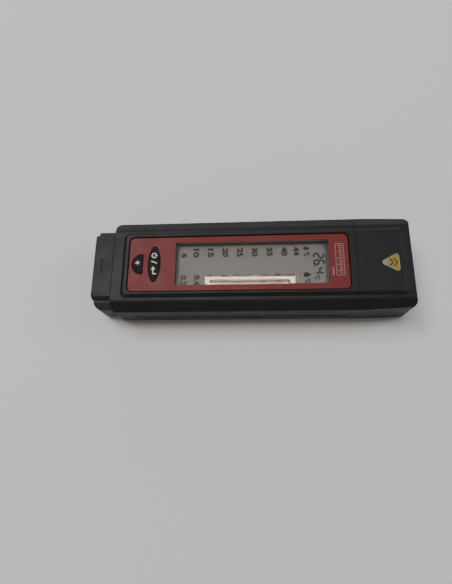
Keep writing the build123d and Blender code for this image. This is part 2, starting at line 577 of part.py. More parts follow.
def cap_profile():
    """Side view in (X, Z): drafted tip with a rounded foot and a soft top edge."""
    sketch = outline([(0, 0), (TIP_X - CAP_DRAFT, 0), (TIP_X, SHOULDER_Z), (0, SHOULDER_Z)])
    sketch = fillet([v for v in sketch.vertices() if v.X > 1 and v.Y < 1], BOTTOM_RADIUS)
    return fillet([v for v in sketch.vertices() if v.X > 1 and v.Y > SHOULDER_Z - 1], CAP_EDGE)


def protective_cap():
    outside = along_x(casing_section(), (CAP_REAR_X, TIP_X))
    outside &= raised(cap_plan(0), (0, HEIGHT))
    outside &= across_y(cap_profile(), (-WIDTH, WIDTH))
    island = plateau() & block((CAP_REAR_X, LENGTH), (-WIDTH, WIDTH), (0, 2 * HEIGHT))
    hollow = along_x(casing_section(CAP_WALL), (CAP_REAR_X - 1, TIP_X - CAP_WALL))
    hollow &= raised(cap_plan(CAP_WALL), (0, HEIGHT))
    return outside + island - hollow - cap_label()


def cap_label():
    """Plain triangular sticker, set flush in the cap near its tip."""
    (tip_x, back_x), (centre_y, half) = CAP_LABEL_X, CAP_LABEL_Y
    triangle = outline([(tip_x, centre_y), (back_x, centre_y - half), (back_x, centre_y + half)])
    return raised(fillet(triangle.vertices(), CAP_LABEL_CORNER), (HEIGHT - LABEL_T, HEIGHT))


def rear_label():
    z = (REAR_LABEL_RECESS - LABEL_T, REAR_LABEL_RECESS)
    return plate(REAR_LABEL_X, REAR_LABEL_Y, z, LABEL_CORNER)


# ---------- every node ----------
def build_nodes():
    left_insert, left_needle = grip_insert(), electrode_needle()
    left_socket, left_tab = needle_socket(), electrode_tab()
    nodes = {
        "upper_housing": upper_housing(),
        "lower_housing": lower_housing(),
        "housing_screws": housing_screws(),
        "left_grip_insert": left_insert,
        "right_grip_insert": mirrored_y(left_insert),
        "front_panel": front_panel(),
        "display_window": display_window(),
        "on_set_button": on_set_button(),
        "lamp_button": lamp_button(),
        "on_set_switch_base": switch_base(ON_BUTTON_X),
        "lamp_switch_base": switch_base(LAMP_SWITCH_X),
        "on_set_switch_plunger": switch_plunger(ON_BUTTON_X),
        "lamp_switch_plunger": switch_plunger(LAMP_SWITCH_X),
        "lcd_holder": lcd_holder(),
        "lcd_polarizer": lcd_polarizer(),
        "lcd_front_glass": display_layer(FRONT_GLASS_Z),
        "lcd_rear_glass": display_layer(REAR_GLASS_Z),
        "lcd_reflector": display_layer((GUIDE_TOP_Z, REAR_GLASS_Z[0]), GUIDE_X, GUIDE_Y),
        "backlight_guide": display_layer((BOARD_Z[1], GUIDE_TOP_Z), GUIDE_X, GUIDE_Y),
        "backlight_leds": backlight_leds(),
        "zebra_connectors": zebra_connectors(),
        "main_board": main_board(),
        "board_screws": board_screws(),
        "controller_chip": controller_chip(),
        "board_resistors": board_resistors(),
        "board_capacitors": board_capacitors(),
        "crystal": crystal(),
        "thermistor": thermistor(),
        "electrode_holder": electrode_holder(),
        "left_needle_socket": left_socket,
        "right_needle_socket": mirrored_y(left_socket),
        "left_electrode_needle": left_needle,
        "right_electrode_needle": mirrored_y(left_needle),
        "left_electrode_tab": left_tab,
        "right_electrode_tab": mirrored_y(left_tab),
        "battery_drawer": battery_drawer(),
        "lower_coin_cell": coin_cell(0),
        "middle_coin_cell": coin_cell(1),
        "upper_coin_cell": coin_cell(2),
        "positive_battery_contact": positive_battery_contact(),
        "negative_battery_contact": negative_battery_contact(),
        "protective_cap": protective_cap(),
        "cap_label": cap_label(),
        "rear_label": rear_label(),
    }
    return nodes


os.makedirs("parts", exist_ok=True)
for name, shape in build_nodes().items():
    export_step(shape, f"parts/{name}.step")
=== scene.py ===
import json
import math

import bmesh
import bpy
from mathutils import Matrix, Vector
from mathutils.bvhtree import BVHTree


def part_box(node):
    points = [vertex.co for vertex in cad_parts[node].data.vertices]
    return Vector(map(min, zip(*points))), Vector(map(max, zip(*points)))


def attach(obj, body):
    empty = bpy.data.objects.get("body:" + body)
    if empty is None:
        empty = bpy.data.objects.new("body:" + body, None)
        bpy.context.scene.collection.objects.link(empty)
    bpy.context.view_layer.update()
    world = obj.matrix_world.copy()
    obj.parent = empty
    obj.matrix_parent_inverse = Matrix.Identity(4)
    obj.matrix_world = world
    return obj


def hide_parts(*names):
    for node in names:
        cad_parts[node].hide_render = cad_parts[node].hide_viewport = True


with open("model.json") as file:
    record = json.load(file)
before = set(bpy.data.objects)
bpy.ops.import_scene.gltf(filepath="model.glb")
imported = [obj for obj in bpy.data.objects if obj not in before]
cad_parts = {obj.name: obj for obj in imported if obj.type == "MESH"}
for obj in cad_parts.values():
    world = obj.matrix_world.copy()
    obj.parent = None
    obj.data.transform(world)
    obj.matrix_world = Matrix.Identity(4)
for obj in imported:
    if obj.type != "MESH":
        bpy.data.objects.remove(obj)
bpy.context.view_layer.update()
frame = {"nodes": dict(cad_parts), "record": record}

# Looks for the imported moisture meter.  The scene, the materials and the lights are in
# metres.  Pieces are drawn in millimetres and scaled by MM when they join the scene.
MM = 0.001
NODES = frame["nodes"]


# ---------- measures read from the frame ----------
def box_mm(node):
    """Lowest and highest corner of a CAD node, in millimetres."""
    low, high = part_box(node)
    return low / MM, high / MM


def middle_x(node):
    """Middle of a CAD node along X, in millimetres."""
    low, high = box_mm(node)
    return (low.x + high.x) / 2


WINDOW_LOW, WINDOW_HIGH = box_mm("display_window")
WINDOW_MIDDLE = (WINDOW_LOW + WINDOW_HIGH) / 2
DISPLAY_TOP = box_mm("lcd_polarizer")[1].z
PANEL_TOP = box_mm("front_panel")[1].z


# ---------- materials ----------
DUST_COLOR, DUST_SPACING = (0.3, 0.29, 0.27), 0.0026
SCRATCHES = ((24, 0.00010), (-61, 0.00013))          # heading in degrees and width of each set
FLAT, FULL_EDGE = 0.98, 0.8                          # cosine between rounded and true normal


def scaled(color, factor):
    """Colour made darker or lighter by a factor, at most white."""
    return [min(factor * part, 1) for part in color]


class Surface:
    """A Principled material whose colour, roughness and relief come from procedural nodes.

    Sizes are metres; patterns lie in the object's own coordinates, so they ride with it.
    """

    def __init__(self, name, color, roughness, **sockets):
        self.material = bpy.data.materials.new(name)
        self.material.use_nodes = True
        self.tree = self.material.node_tree
        self.shader = self.tree.nodes["Principled BSDF"]
        self.shader.inputs["Base Color"].default_value = (*color, 1)
        self.shader.inputs["Roughness"].default_value = roughness
        for socket, value in sockets.items():
            self.shader.inputs[socket.replace("_", " ")].default_value = value
        self.position = self.add("ShaderNodeTexCoord").outputs["Object"]
        self.roughness = roughness

    def add(self, kind, **settings):
        node = self.tree.nodes.new(kind)
        for key, value in settings.items():
            setattr(node, key, value)
        return node

    def link(self, output, socket):
        self.tree.links.new(output, socket)

    def noise(self, size, detail=2.0, stretch=(1, 1, 1), turn=0.0):
        """Noise with blotches about size across, drawn out along an axis by stretch."""
        mapping = self.add("ShaderNodeMapping", vector_type="TEXTURE")
        mapping.inputs["Scale"].default_value = [size * factor for factor in stretch]
        mapping.inputs["Rotation"].default_value = (0, 0, math.radians(turn))
        self.link(self.position, mapping.inputs["Vector"])
        node = self.add("ShaderNodeTexNoise")
        node.inputs["Scale"].default_value = 1
        node.inputs["Detail"].default_value = detail
        self.link(mapping.outputs["Vector"], node.inputs["Vector"])
        return node.outputs["Fac"]

    def cells(self, size, feature="F1"):
        """Distance to scattered points about size apart, or to the borders between them."""
        node = self.add("ShaderNodeTexVoronoi", feature=feature)
        node.inputs["Scale"].default_value = 1 / size
        self.link(self.position, node.inputs["Vector"])
        return node.outputs["Distance"]

    def span(self, value, start, end, at_start, at_end):
        """Value mapped from start..end to at_start..at_end and held beyond both ends."""
        node = self.add("ShaderNodeMapRange")
        for socket, number in zip(("From Min", "From Max", "To Min", "To Max"),
                                  (start, end, at_start, at_end)):
            node.inputs[socket].default_value = number
        self.link(value, node.inputs["Value"])
        return node.outputs["Result"]

    def math(self, operation, first, second):
        node = self.add("ShaderNodeMath", operation=operation)
        self.link(first, node.inputs[0])
        self.link(second, node.inputs[1])
        return node.outputs["Value"]

    def rounded_normal(self, radius):
        """Normal of the surface with its edges rounded to a radius."""
        bevel = self.add("ShaderNodeBevel", samples=4)
        bevel.inputs["Radius"].default_value = radius
        return bevel.outputs["Normal"]

    def edges(self, radius):
        """1 along convex and concave edges, where the rounded normal leaves the true one."""
        true_normal = self.add("ShaderNodeNewGeometry").outputs["Normal"]
        dot = self.add("ShaderNodeVectorMath", operation="DOT_PRODUCT")
        self.link(self.rounded_normal(radius), dot.inputs[0])
        self.link(true_normal, dot.inputs[1])
        return self.span(dot.outputs["Value"], FLAT, FULL_EDGE, 0.0, 1.0)

    def tint(self, factor, color):
        """Mix the colour so far towards another by a factor."""
        base = self.shader.inputs["Base Color"]
        mix = self.add("ShaderNodeMix", data_type="RGBA")
        first, second, result = mix.inputs[6], mix.inputs[7], mix.outputs[2]     # the RGBA ones
        if base.is_linked:
            self.link(base.links[0].from_socket, first)
        else:
            first.default_value = base.default_value
        second.default_value = (*color, 1)
        self.link(factor, mix.inputs["Factor"])
        self.link(result, base)
        return self

    def rough(self, value, change, start=0.35, end=0.65):
        """Let the roughness move either way by change as value goes from start to end."""
        spread = self.span(value, start, end, self.roughness - change, self.roughness + change)
        self.link(spread, self.shader.inputs["Roughness"])
        return self

    def bump(self, height, depth):
        """Add relief depth metres deep to what the surface has so far."""
        node = self.add("ShaderNodeBump")
        node.inputs["Distance"].default_value = depth
        self.link(height, node.inputs["Height"])
        normal = self.shader.inputs["Normal"]
        if normal.is_linked:
            self.link(normal.links[0].from_socket, node.inputs["Normal"])
        self.link(node.outputs["Normal"], normal)
        return self

    def soften(self, radius):
        """Round the shading of sharp edges, as moulded and pressed edges are."""
        self.link(self.rounded_normal(radius), self.shader.inputs["Normal"])
        return self

    def worn(self, color, radius, amount):
        """Rub the edges towards a colour, unevenly."""
        patches = self.span(self.noise(0.003, 3), 0.42, 0.62, 0.0, amount)
        return self.tint(self.math("MULTIPLY", self.edges(radius), patches), color)

    def scratched(self, color, amount):
        """Short fine handling scratches in two directions."""
        for turn, width in SCRATCHES:
            lines = self.noise(width, 0, stretch=(60, 1, 60), turn=turn)
            self.tint(self.span(lines, 0.74, 0.80, 0.0, amount), color)
        return self

    def dusty(self, amount):
        """Scattered specks of dust."""
        specks = self.span(self.cells(DUST_SPACING), 0.02, 0.045, amount, 0.0)
        return self.tint(specks, DUST_COLOR)


def moulded(name, color, roughness, light, grain=0.00012, depth=0.000006):
    """Moulded plastic: spark-eroded grain, smudges, rubbed edges, scratches and dust."""
    plastic = Surface(name, color, roughness, Specular_IOR_Level=0.28).soften(0.0001)
    plastic.tint(plastic.span(plastic.noise(0.011, 3), 0.35, 0.7, 0.0, 0.25), light)
    plastic.worn(scaled(light, 3), 0.00022, 0.5)
    plastic.scratched(light, 0.7)
    plastic.dusty(0.45)
    plastic.rough(plastic.noise(0.007, 4), 0.04)
    plastic.bump(plastic.noise(0.02, 1), 0.00002)
    plastic.bump(plastic.noise(grain, 1), depth)
    return plastic.material


def rubber(name, color, sheen):
    """Soft matte rubber that holds some dust in its texture."""
    skin = Surface(name, color, 0.62, Specular_IOR_Level=sheen).soften(0.00015)
    skin.tint(skin.span(skin.noise(0.004, 4), 0.4, 0.7, 0.0, 0.5), scaled(color, 1.9))
    skin.dusty(0.3)
    skin.rough(skin.noise(0.002, 3), 0.08)
    skin.bump(skin.noise(0.00018, 2), 0.000012)
    return skin.material


def metal(name, color, roughness, grain_along):
    """Bare or plated metal with a fine grain along one axis and a little tarnish."""
    surface = Surface(name, color, roughness, Metallic=1.0).soften(0.00008)
    stretch = [30 if axis == grain_along else 1 for axis in "XYZ"]
    surface.tint(surface.span(surface.noise(0.0016, 4), 0.45, 0.75, 0.0, 0.5), scaled(color, 0.62))
    grain = surface.noise(0.00005, 2, stretch=stretch)
    surface.rough(grain, 0.1)
    surface.bump(grain, 0.000003)
    return surface.material


def ink(name, color, roughness=0.5, sheen=0.3):
    """Screen-printed ink with pinholes and slightly uneven cover."""
    film = Surface(name, color, roughness, Specular_IOR_Level=sheen)
    film.tint(film.span(film.noise(0.0009, 4), 0.4, 0.75, 0.0, 0.45), scaled(color, 0.72))
    film.rough(film.noise(0.0006), 0.08)
    film.bump(film.noise(0.00015, 2), 0.000004)
    return film.material


def glass_through(name, color, roughness, smear):
    """Clear plastic with a faint haze: refracts, and lets lamps light what lies under it."""
    pane = Surface(name, color, roughness, IOR=1.49, Transmission_Weight=1.0,
                   Coat_Weight=0.08, Coat_Roughness=0.2)
    pane.rough(pane.noise(0.005, 5, stretch=(1, 2.5, 1), turn=30), smear)
    pane.bump(pane.noise(0.012, 0), 0.000001)
    clear = pane.add("ShaderNodeBsdfTransparent")
    path = pane.add("ShaderNodeLightPath")
    mix = pane.add("ShaderNodeMixShader")
    pane.link(path.outputs["Is Shadow Ray"], mix.inputs[0])
    pane.link(pane.shader.outputs["BSDF"], mix.inputs[1])
    pane.link(clear.outputs["BSDF"], mix.inputs[2])
    pane.link(mix.outputs["Shader"], pane.tree.nodes["Material Output"].inputs["Surface"])
    return pane.material


def display_film(name, color, shade):
    """Display film, grained and a little uneven, that drifts from one colour to another."""
    film = Surface(name, color, 0.5, Specular_IOR_Level=0.2)
    film.tint(film.span(film.noise(0.016, 2), 0.35, 0.65, 0.0, 0.5), shade)
    film.tint(film.span(film.noise(0.00016, 1), 0.3, 0.7, 0.0, 0.22), scaled(color, 0.8))
    film.rough(film.noise(0.003, 2), 0.05)
    film.bump(film.noise(0.00014, 1), 0.000003)
    return film.material


def circuit_board(name):
    """Green solder mask over a maze of traces, with tinned pads."""
    board = Surface(name, (0.012, 0.09, 0.03), 0.35)
    traces = board.span(board.cells(0.0022, "DISTANCE_TO_EDGE"), 0.06, 0.1, 1.0, 0.0)
    board.tint(traces, (0.03, 0.17, 0.06))
    board.tint(board.span(board.cells(0.0031), 0.12, 0.15, 1.0, 0.0), (0.6, 0.6, 0.58))
    board.rough(board.noise(0.004, 3), 0.06)
    board.bump(traces, 0.00003)
    return board.material


def paper_label(name, color, shade):
    """Coated paper or vinyl with slight soiling."""
    sheet = Surface(name, color, 0.45)
    sheet.tint(sheet.span(sheet.noise(0.003, 5), 0.4, 0.75, 0.0, 0.6), shade)
    sheet.worn(scaled(shade, 0.6), 0.0002, 0.8)
    sheet.rough(sheet.noise(0.002, 3), 0.08)
    sheet.bump(sheet.noise(0.0004, 3), 0.000006)
    return sheet.material


BLACK_PLASTIC = moulded("black_plastic", (0.010, 0.010, 0.0105), 0.5, (0.016, 0.016, 0.0165))
RED_PLASTIC = moulded("red_plastic", (0.165, 0.0175, 0.0175), 0.5, (0.185, 0.028, 0.027),
                      0.0001, 0.000004)
KEY_RUBBER = rubber("key_rubber", (0.0125, 0.0115, 0.011), 0.14)
GRIP_RUBBER = rubber("grip_rubber", (0.015, 0.0145, 0.0145), 0.45)
WHITE_INK = ink("white_ink", (0.8, 0.79, 0.77))
PANEL_INK = ink("panel_ink", (0.3, 0.18, 0.175))
DISPLAY_INK = ink("display_ink", (0.004, 0.0045, 0.0045), 0.6, 0.1)
SCALE_INK = ink("scale_ink", (0.009, 0.0092, 0.0092), 0.6, 0.1)
PALE_DISPLAY_INK = ink("pale_display_ink", (0.028, 0.027, 0.026), 0.6, 0.1)
YELLOW_INK = ink("yellow_ink", (0.33, 0.225, 0.03))
BROWN_INK = ink("brown_ink", (0.05, 0.028, 0.015))
GREY_INK = ink("grey_ink", (0.06, 0.06, 0.065))
WINDOW_PLASTIC = glass_through("window_plastic", (0.97, 0.98, 0.98), 0.022, 0.006)
CELL_GLASS = glass_through("cell_glass", (0.8, 0.85, 0.82), 0.03, 0.01)
DISPLAY_FILM = display_film("display_film", (0.113, 0.098, 0.087), (0.092, 0.083, 0.076))
DISPLAY_BORDER = display_film("display_border", (0.035, 0.036, 0.036), (0.03, 0.031, 0.031))
STICKER = paper_label("sticker_border", (0.27, 0.255, 0.22), (0.2, 0.185, 0.155))
REAR_LABEL = paper_label("rear_label_sheet", (0.52, 0.52, 0.53), (0.42, 0.41, 0.4))

SLOT_LOOKS = {
    "casing": BLACK_PLASTIC,
    "holder": moulded("holder_plastic", (0.014, 0.014, 0.014), 0.5, (0.02, 0.02, 0.02)),
    "grip": GRIP_RUBBER,
    "panel": RED_PLASTIC,
    "button": KEY_RUBBER,
    "window": WINDOW_PLASTIC,
    "lcd_film": DISPLAY_FILM,
    "lcd_glass": CELL_GLASS,
    "reflector": display_film("pearl_film", (0.7, 0.71, 0.68), (0.62, 0.63, 0.6)),
    "light_guide": moulded("milky_plastic", (0.78, 0.8, 0.8), 0.3, (0.84, 0.85, 0.85)),
    "led": moulded("led_resin", (0.8, 0.74, 0.42), 0.25, (0.85, 0.8, 0.6)),
    "switch_body": moulded("switch_plastic", (0.03, 0.03, 0.03), 0.5, (0.05, 0.05, 0.05)),
    "switch_plunger": moulded("plunger_plastic", (0.42, 0.4, 0.36), 0.45, (0.5, 0.48, 0.45)),
    "elastomer": rubber("zebra_rubber", (0.5, 0.33, 0.29), 0.3),
    "board": circuit_board("circuit_board"),
    "epoxy": moulded("epoxy", (0.012, 0.012, 0.012), 0.25, (0.02, 0.02, 0.02), 0.0006, 0.00003),
    "resistor": moulded("resistor_body", (0.03, 0.03, 0.032), 0.5, (0.3, 0.3, 0.29)),
    "capacitor": moulded("capacitor_sleeve", (0.02, 0.035, 0.16), 0.3, (0.05, 0.07, 0.22)),
    "crystal_can": metal("plated_can", (0.66, 0.66, 0.67), 0.22, "X"),
    "brass": metal("brass", (0.72, 0.5, 0.2), 0.28, "X"),
    "needle_steel": metal("needle_steel", (0.62, 0.62, 0.63), 0.2, "X"),
    "contact": metal("nickel_sheet", (0.66, 0.64, 0.58), 0.3, "X"),
    "screw_steel": metal("zinc_steel", (0.5, 0.51, 0.53), 0.34, "Z"),
    "cell_steel": metal("cell_steel", (0.6, 0.6, 0.61), 0.3, "Y"),
    "cap_label": STICKER,
    "rear_label": REAR_LABEL,
}


def dress_cad_nodes():
    """Give each CAD node the look of its slot in the record."""
    for part in frame["record"]["subparts"]:
        node = NODES[part["node"]]
        if not node.material_slots:
            node.data.materials.append(None)
        for material_slot in node.material_slots:
            material_slot.material = SLOT_LOOKS[part["material_slot"]]


# ---------- pieces ----------
MITRE_LIMIT = 0.3            # smallest cosine that a bend's mitre is worked out from
GLYPH_WEIGHT = 0.05          # how far lettering is thickened, as a share of the font size


def add_piece(name, mesh, material, body):
    """Put a mesh in the scene as a piece that rides on a CAD body."""
    mesh.materials.append(material)
    piece = bpy.data.objects.new(name, mesh)
    bpy.context.scene.collection.objects.link(piece)
    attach(piece, body)
    return piece


def arc(centre, radius, start, end, steps):
    """Points along an arc, angles in degrees, both ends included."""
    angles = [math.radians(start + (end - start) * step / steps) for step in range(steps + 1)]
    return [(centre[0] + radius * math.cos(angle), centre[1] + radius * math.sin(angle))
            for angle in angles]


def rounded_box(low, high, radius, steps=6):
    """Closed loop of a rectangle with round corners."""
    corners = ((high[0], high[1], 0), (low[0], high[1], 90),
               (low[0], low[1], 180), (high[0], low[1], 270))
    loop = []
    for x, y, start in corners:
        centre = (x + radius * (-1 if x == high[0] else 1), y + radius * (-1 if y == high[1] else 1))
        loop += arc(centre, radius, start, start + 90, steps)
    return loop


def stroke(points, width):
    """Closed loop round an open line of the given width, with mitred bends."""
    points = [Vector(point) for point in points]
    headings = [(b - a).normalized() for a, b in zip(points, points[1:])]
    left, right = [], []
    for index, point in enumerate(points):
        before, after = headings[max(index - 1, 0)], headings[min(index, len(headings) - 1)]
        across = Vector((-before.y - after.y, before.x + after.x)).normalized()
        reach = across * (width / 2 / max(across.dot(Vector((-before.y, before.x))), MITRE_LIMIT))
        left.append(tuple(point + reach))
        right.append(tuple(point - reach))
    return left + right[::-1]


class Artwork:
    """Flat printed marks in millimetres, drawn as a reader sees them: u right and v up.

    On the meter a reader looks with +X upwards, so u runs along -Y.
    """

    FROM_READER = Matrix.Rotation(math.radians(-90), 4, "Z")

    def __init__(self):
        self.marks = bmesh.new()

    def take(self, curve):
        """Turn a filled curve into a mesh 1 unit thick."""
        curve.dimensions, curve.fill_mode, curve.extrude = "2D", "BOTH", 0.5
        curve.resolution_u = 4
        holder = bpy.data.objects.new(curve.name, curve)
        mesh = bpy.data.meshes.new_from_object(holder)
        bpy.data.objects.remove(holder)
        bpy.data.curves.remove(curve)
        return mesh

    def keep(self, mesh):
        self.marks.from_mesh(mesh)
        bpy.data.meshes.remove(mesh)

    def area(self, *loops):
        """Filled area inside closed loops; a loop inside another is a hole."""
        curve = bpy.data.curves.new("area", "CURVE")
        for loop in loops:
            spline = curve.splines.new("POLY")
            spline.points.add(len(loop) - 1)
            for point, (u, v) in zip(spline.points, loop):
                point.co = (u, v, 0, 1)
            spline.use_cyclic_u = True
        self.keep(self.take(curve))

    def line(self, points, width):
        self.area(stroke(points, width))

    def glyphs(self, text, place, size):
        """Plain lettering whose middle is at place and whose width and height are size."""
        curve = bpy.data.curves.new("glyphs", "FONT")
        curve.body, curve.offset = text, GLYPH_WEIGHT
        mesh = self.take(curve)
        flat = [vertex.co.xy for vertex in mesh.vertices]
        low = Vector((min(point.x for point in flat), min(point.y for point in flat)))
        high = Vector((max(point.x for point in flat), max(point.y for point in flat)))
        middle, extent = (low + high) / 2, high - low
        to_origin = Matrix.Translation((-middle.x, -middle.y, 0))
        scale = Matrix.Diagonal((size[0] / extent.x, size[1] / extent.y, 1, 1))
        mesh.transform(Matrix.Translation((*place, 0)) @ scale @ to_origin)
        self.keep(mesh)

    def finish(self, name, material, body, slot, place, thickness=0.02):
        """Make the marks a piece that stands thickness above the face at place."""
        self.marks.normal_update()
        bmesh.ops.remove_doubles(self.marks, verts=self.marks.verts, dist=1e-5)
        mesh = bpy.data.meshes.new(name)
        self.marks.to_mesh(mesh)
        self.marks.free()
        mesh.transform(Matrix.Scale(MM, 4) @ Matrix.Translation(place) @ self.FROM_READER
                       @ Matrix.Diagonal((1, 1, 2 * thickness, 1)))
        return add_piece(name, mesh, material, body)


# ---------- buttons ----------
FLANGE_MARGIN, FLANGE_THICKNESS = 0.7, 0.7
TIP_RADIUS, MOON_CORNER = 1.2, 0.8       # the oval's round tips and the half-moon's corners
CROWN_DROP = 0.28                        # how far the top of the skirt lies under the crown
ROLL_STEPS = ((0.0, 0.26), (-0.05, 0.13), (-0.16, 0.04), (-0.3, 0.0))   # margin and drop of a ring
CROWN_SCALES = (0.84, 0.66, 0.46, 0.24)  # each ring of the dome as a share of the last rolled one
SMOOTH_UP_TO = math.radians(50)          # sharper edges keep a crease
SIGN_FACET = 0.0005                      # metres


def lens_outline(margin):
    """Oval button outline: two long arcs and two round tips, about its own middle."""
    low, high = box_mm("on_set_button")
    grow = margin - FLANGE_MARGIN
    half_x, half_y = (high.x - low.x) / 2 + grow, high.y + grow
    tip = TIP_RADIUS + margin
    tip_centre = half_y - tip
    side = (tip_centre**2 + half_x**2 - tip**2) / (2 * (half_x - tip))
    sweep = math.degrees(math.atan2(tip_centre, side - half_x))
    quarter = arc((half_x - side, 0), side, 0, sweep, 12)
    quarter += arc((0, tip_centre), tip, sweep, 90, 5)[1:]
    half = quarter + [(-x, y) for x, y in reversed(quarter[:-1])]
    return half + [(x, -y) for x, y in reversed(half[1:-1])]


def moon_outline(margin):
    """Half-moon button outline: a large arc, a flat side and two small corners."""
    low, high = box_mm("lamp_button")
    grow = margin - FLANGE_MARGIN
    centre = low.x + high.y - (low.x + high.x) / 2
    flat = (high.x - low.x) / 2 + grow
    radius = high.y + grow
    corner_x = flat - MOON_CORNER
    corner_y = math.sqrt((radius - MOON_CORNER)**2 - (corner_x - centre)**2)
    meet = math.degrees(math.atan2(corner_y, corner_x - centre))
    half = [(flat, 0)] + arc((corner_x, corner_y), MOON_CORNER, 0, meet, 4)
    half += arc((centre, 0), radius, meet, 180, 20)[1:]
    return half + [(x, -y) for x, y in reversed(half[1:-1])]


def domed_key(name, node, outline, body):
    """Button with a flange, an upright skirt, a rolled edge and a low dome."""
    low, high = box_mm(node)
    middle = middle_x(node)
    skirt_top = high.z - CROWN_DROP
    rings = [(outline(FLANGE_MARGIN), low.z), (outline(FLANGE_MARGIN), low.z + FLANGE_THICKNESS),
             (outline(0), low.z + FLANGE_THICKNESS)]
    rings += [(outline(margin), skirt_top - drop) for margin, drop in ROLL_STEPS]
    rim = outline(ROLL_STEPS[-1][0])
    rings += [([(x * scale, y * scale) for x, y in rim], high.z - CROWN_DROP * scale**2)
              for scale in CROWN_SCALES]
    shape = bmesh.new()
    loops = [[shape.verts.new((x + middle, y, z)) for x, y in ring] for ring, z in rings]
    for lower, upper in zip(loops, loops[1:]):
        for index, vertex in enumerate(lower):
            shape.faces.new((lower[index - 1], vertex, upper[index], upper[index - 1]))
    crown = shape.verts.new((middle, 0, high.z))
    for index, vertex in enumerate(loops[-1]):
        shape.faces.new((loops[-1][index - 1], vertex, crown))
    shape.faces.new(loops[0][::-1])
    bmesh.ops.recalc_face_normals(shape, faces=shape.faces)
    mesh = bpy.data.meshes.new(name)
    shape.to_mesh(mesh)
    shape.free()
    mesh.transform(Matrix.Scale(MM, 4))
    mesh.shade_smooth()
    mesh.set_sharp_from_angle(angle=SMOOTH_UP_TO)
    key = add_piece(name, mesh, KEY_RUBBER, body)
    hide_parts(node)
    return key


def lay_on(marks, key):
    """Cut a mark into small facets and drop them on to the dome of a key."""
    shape = bmesh.new()
    shape.from_mesh(marks.data)
    for axis in (Vector((1, 0, 0)), Vector((0, 1, 0))):
        reach = [vertex.co.dot(axis) for vertex in shape.verts]
        for step in range(math.ceil(min(reach) / SIGN_FACET), math.ceil(max(reach) / SIGN_FACET)):
            bmesh.ops.bisect_plane(shape, geom=shape.verts[:] + shape.edges[:] + shape.faces[:],
                                   plane_co=axis * step * SIGN_FACET, plane_no=axis)
    surface = BVHTree.FromPolygons([vertex.co for vertex in key.data.vertices],
                                   [polygon.vertices for polygon in key.data.polygons])
    for vertex in shape.verts:
        above = Vector((vertex.co.x, vertex.co.y, 1))
        vertex.co.z += surface.ray_cast(above, Vector((0, 0, -1)))[0].z
    shape.to_mesh(marks.data)
    shape.free()


def make_on_set_signs(key):
    """Power sign, slash and return arrow."""
    signs = Artwork()
    power, outer, inner, line = -3.7, 1.2, 0.8, 0.4
    signs.area(arc((power, 0), outer, 125, 415, 20) + arc((power, 0), inner, 415, 125, 20))
    signs.line([(power, 0.2), (power, 1.3)], line)
    signs.line([(-1.2, -1.25), (-0.2, 1.25)], line)
    shaft, bend, head, half_head = -0.3, 4.4, 2.5, 0.95
    signs.line([(bend, 1.15), (bend, shaft), (head - 0.3, shaft)], 0.42)
    signs.area([(head - 1.3, shaft), (head, shaft + half_head), (head, shaft - half_head)])
    lay_on(signs.finish("on_set_key_signs", WHITE_INK, "on_set_key", "button",
                        (middle_x("on_set_button"), 0, 0)), key)


def make_lamp_sign(key):
    """Bulb with five rays."""
    sign = Artwork()
    bulb, radius, neck, foot, line = (0, 0.15), 0.55, 0.22, -0.62, 0.16
    sign.area(arc(bulb, radius, -60, 240, 14) + [(-neck, foot), (neck, foot)])
    sign.line([(-0.25, -0.85), (0.25, -0.85)], line)
    for angle in (0, 45, 90, 135, 180):
        ray = Vector((math.cos(math.radians(angle)), math.sin(math.radians(angle))))
        sign.line([Vector(bulb) + 0.78 * ray, Vector(bulb) + 1.1 * ray], line)
    lay_on(sign.finish("lamp_key_sign", WHITE_INK, "lamp_key", "button",
                       (middle_x("lamp_button"), 0.6, 0)), key)


def make_buttons():
    on_set_key = domed_key("on_set_key_cap", "on_set_button", lens_outline, "on_set_key")
    lamp_key = domed_key("lamp_key_cap", "lamp_button", moon_outline, "lamp_key")
    make_on_set_signs(on_set_key)
    make_lamp_sign(lamp_key)


# ---------- display ----------
DISPLAY_PLACE = (WINDOW_MIDDLE.x, 0, DISPLAY_TOP)    # the display's marks are placed from here
FIGURE_WIDTH, FIGURE_HEIGHT = 2.0, 2.6               # of a figure of the percentage scales
WOOD_EDGE, WOOD_START, WOOD_STEP = -3.75, -28.4, 1.242   # right edge, v of 6 % and rise per percent
DAMP_MIDDLE, DAMP_START, DAMP_STEP = 6.4, -28.5, 5.6     # u of the middle, first v and rise per figure
UNIT_LINE = 22.95                                    # v of the signs that end the scales
BASE_LINE, STROKE = 25.92, 0.75                      # foot and line width of the large reading
SEGMENTS = {"a": ((0, 1), (1, 1)), "b": ((1, 1), (1, 0.5)), "c": ((1, 0.5), (1, 0)),
            "d": ((0, 0), (1, 0)), "e": ((0, 0.5), (0, 0)), "f": ((0, 1), (0, 0.5)),
            "g": ((0, 0.5), (1, 0.5))}
FIGURES = {"2": "abged", "4": "fgbc", "6": "afedcg"}


def figure(art, digit, corner, size):
    """Seven-segment digit with its lower left corner and size given; segments have pointed ends."""
    for name in FIGURES[digit]:
        start, end = (Vector((corner[0] + u * size[0], corner[1] + v * size[1]))
                      for u, v in SEGMENTS[name])
        along = (end - start).normalized()
        across = Vector((-along.y, along.x)) * STROKE / 2
        gap = along * STROKE * 0.04
        start, end = start + gap, end - gap
        inner, outer = start + along * STROKE / 2, end - along * STROKE / 2
        art.area([start, inner + across, outer + across, end, outer - across, inner - across])


def display_piece(art, name, material, thickness=0.02):
    """Finish marks as a piece that is printed on the display."""
    art.finish(name, material, "housing", "lcd_film", DISPLAY_PLACE, thickness)


